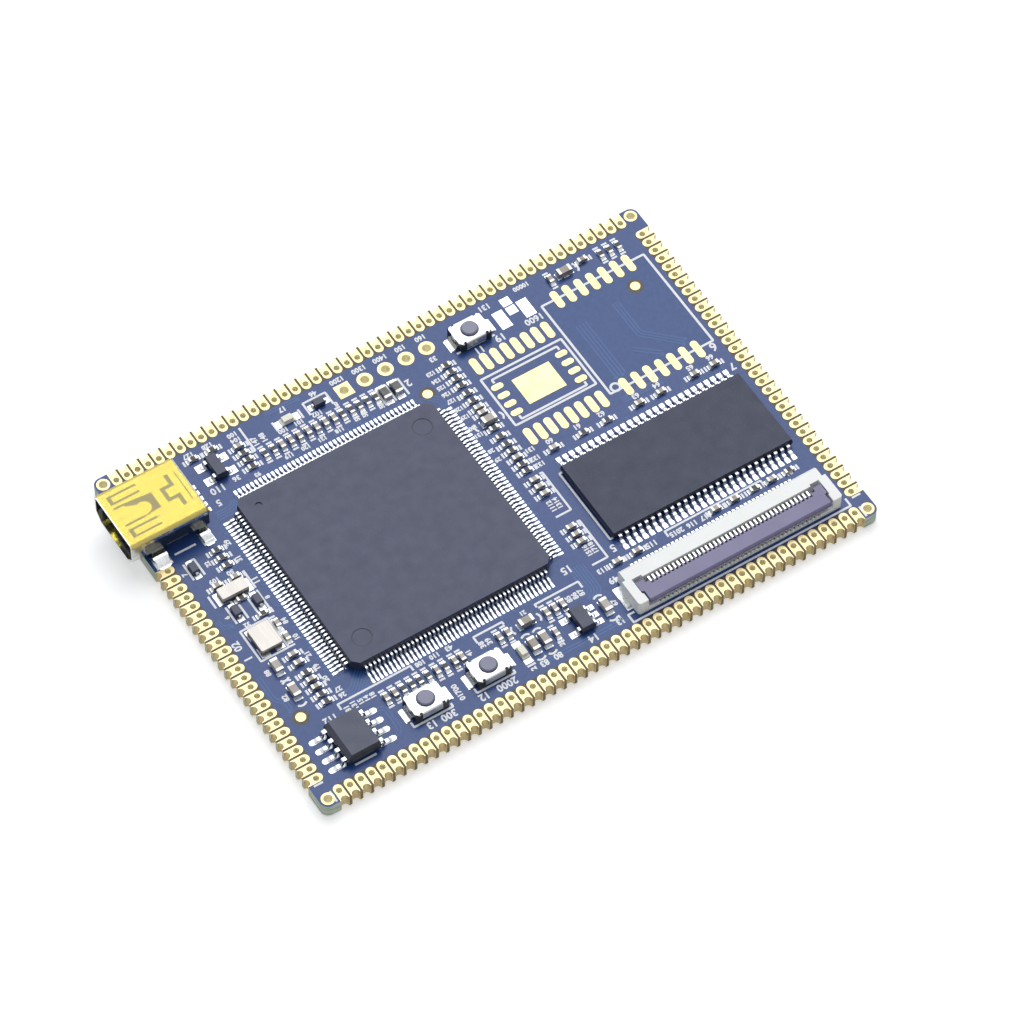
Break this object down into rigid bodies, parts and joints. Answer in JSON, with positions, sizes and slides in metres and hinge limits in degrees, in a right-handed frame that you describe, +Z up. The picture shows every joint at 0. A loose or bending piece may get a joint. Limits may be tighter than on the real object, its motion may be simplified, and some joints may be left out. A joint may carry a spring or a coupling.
{
  "type": "microcontroller core board",
  "caption": "Flat rectangular circuit board with half-hole edge contacts, chips, push switches, a mini USB socket and a flat cable connector whose lever flips up.",
  "frame": {"origin": "the centre of the board's underside", "axes": "+X along the board's length, from the USB socket's edge to the far edge; +Y across the board, from the flat cable connector's edge to the header's edge; +Z up through the components"},
  "size_m": [0.0686, 0.0466, 0.0056],
  "materials": {
    "solder_mask_laminate": "satin blue solder mask over glass-epoxy laminate",
    "gold_plating": "pale gold plating",
    "solder": "bright solder",
    "moulding_compound": "fine matte moulded epoxy",
    "tinned_leads": "bright tin",
    "shell_steel": "plated sheet steel",
    "black_insulator": "matte",
    "contact_gold": "gold plating",
    "polyimide_film": "translucent yellow film",
    "housing_plastic": "matte",
    "tinned_contacts": "bright tin",
    "lever_plastic": "satin",
    "switch_base_plastic": "matte",
    "dome_steel": "spring steel",
    "plunger_plastic": "satin",
    "switch_cover_steel": "plated sheet steel",
    "crystal_base_ceramic": "matte ceramic",
    "crystal_lid_metal": "plated lid",
    "led_base_board": "matte",
    "led_resin": "cloudy resin",
    "resistor_ceramic": "black glaze on ceramic",
    "capacitor_ceramic": "satin ceramic",
    "ferrite": "matte ferrite",
    "end_cap_tin": "bright tin"
  },
  "bodies": {
    "board": {"board_laminate": "solder_mask_laminate", "edge_contacts_front": "gold_plating", "edge_contacts_back": "gold_plating", "edge_contacts_left": "gold_plating", "edge_contacts_right": "gold_plating", "corner_hole_rings": "gold_plating", "header_hole_rings": "gold_plating", "fiducial_dots": "gold_plating", "bare_footprint_lands": "gold_plating", "solder_lands": "solder", "main_chip_body": "moulding_compound", "main_chip_leads": "tinned_leads", "memory_chip_body": "moulding_compound", "memory_chip_leads": "tinned_leads", "flash_chip_body": "moulding_compound", "flash_chip_leads": "tinned_leads", "regulator_body": "moulding_compound", "regulator_leads": "tinned_leads", "protector_body": "moulding_compound", "protector_leads": "tinned_leads", "usb_shell": "shell_steel", "usb_insulator": "black_insulator", "usb_contacts": "contact_gold", "usb_film": "polyimide_film", "fpc_housing": "housing_plastic", "fpc_contacts": "tinned_contacts", "fpc_hold_downs": "tinned_contacts", "switch_1_base": "switch_base_plastic", "switch_1_dome": "dome_steel", "switch_1_cover": "switch_cover_steel", "switch_1_terminals": "tinned_leads", "switch_2_base": "switch_base_plastic", "switch_2_dome": "dome_steel", "switch_2_cover": "switch_cover_steel", "switch_2_terminals": "tinned_leads", "switch_3_base": "switch_base_plastic", "switch_3_dome": "dome_steel", "switch_3_cover": "switch_cover_steel", "switch_3_terminals": "tinned_leads", "bar_crystal_base": "crystal_base_ceramic", "bar_crystal_lid": "crystal_lid_metal", "square_crystal_base": "crystal_base_ceramic", "square_crystal_lid": "crystal_lid_metal", "diode_bodies": "moulding_compound", "diode_terminals": "tinned_leads", "led_bases": "led_base_board", "led_lenses": "led_resin", "resistor_bodies": "resistor_ceramic", "resistor_caps": "end_cap_tin", "capacitor_bodies": "capacitor_ceramic", "capacitor_caps": "end_cap_tin", "bead_bodies": "ferrite", "bead_caps": "end_cap_tin"},
    "plunger_1": {"switch_1_plunger": "plunger_plastic"},
    "plunger_2": {"switch_2_plunger": "plunger_plastic"},
    "plunger_3": {"switch_3_plunger": "plunger_plastic"},
    "lever": {"fpc_lever": "lever_plastic"}
  },
  "joints": [
    {"name": "switch_1_press", "type": "slide", "parent": "board", "child": "plunger_1", "axis": [0, 0, -1], "range_m": [0, 0.00025], "stiffness_N_per_m": 1000},
    {"name": "switch_2_press", "type": "slide", "parent": "board", "child": "plunger_2", "axis": [0, 0, -1], "range_m": [0, 0.00025], "stiffness_N_per_m": 1000},
    {"name": "switch_3_press", "type": "slide", "parent": "board", "child": "plunger_3", "axis": [0, 0, -1], "range_m": [0, 0.00025], "stiffness_N_per_m": 1000},
    {"name": "lever_turn", "type": "hinge", "parent": "board", "child": "lever", "pos_m": [0.01795, -0.01865, 0.0031], "axis": [-1, 0, 0], "range_deg": [0, 90]}
  ]
}
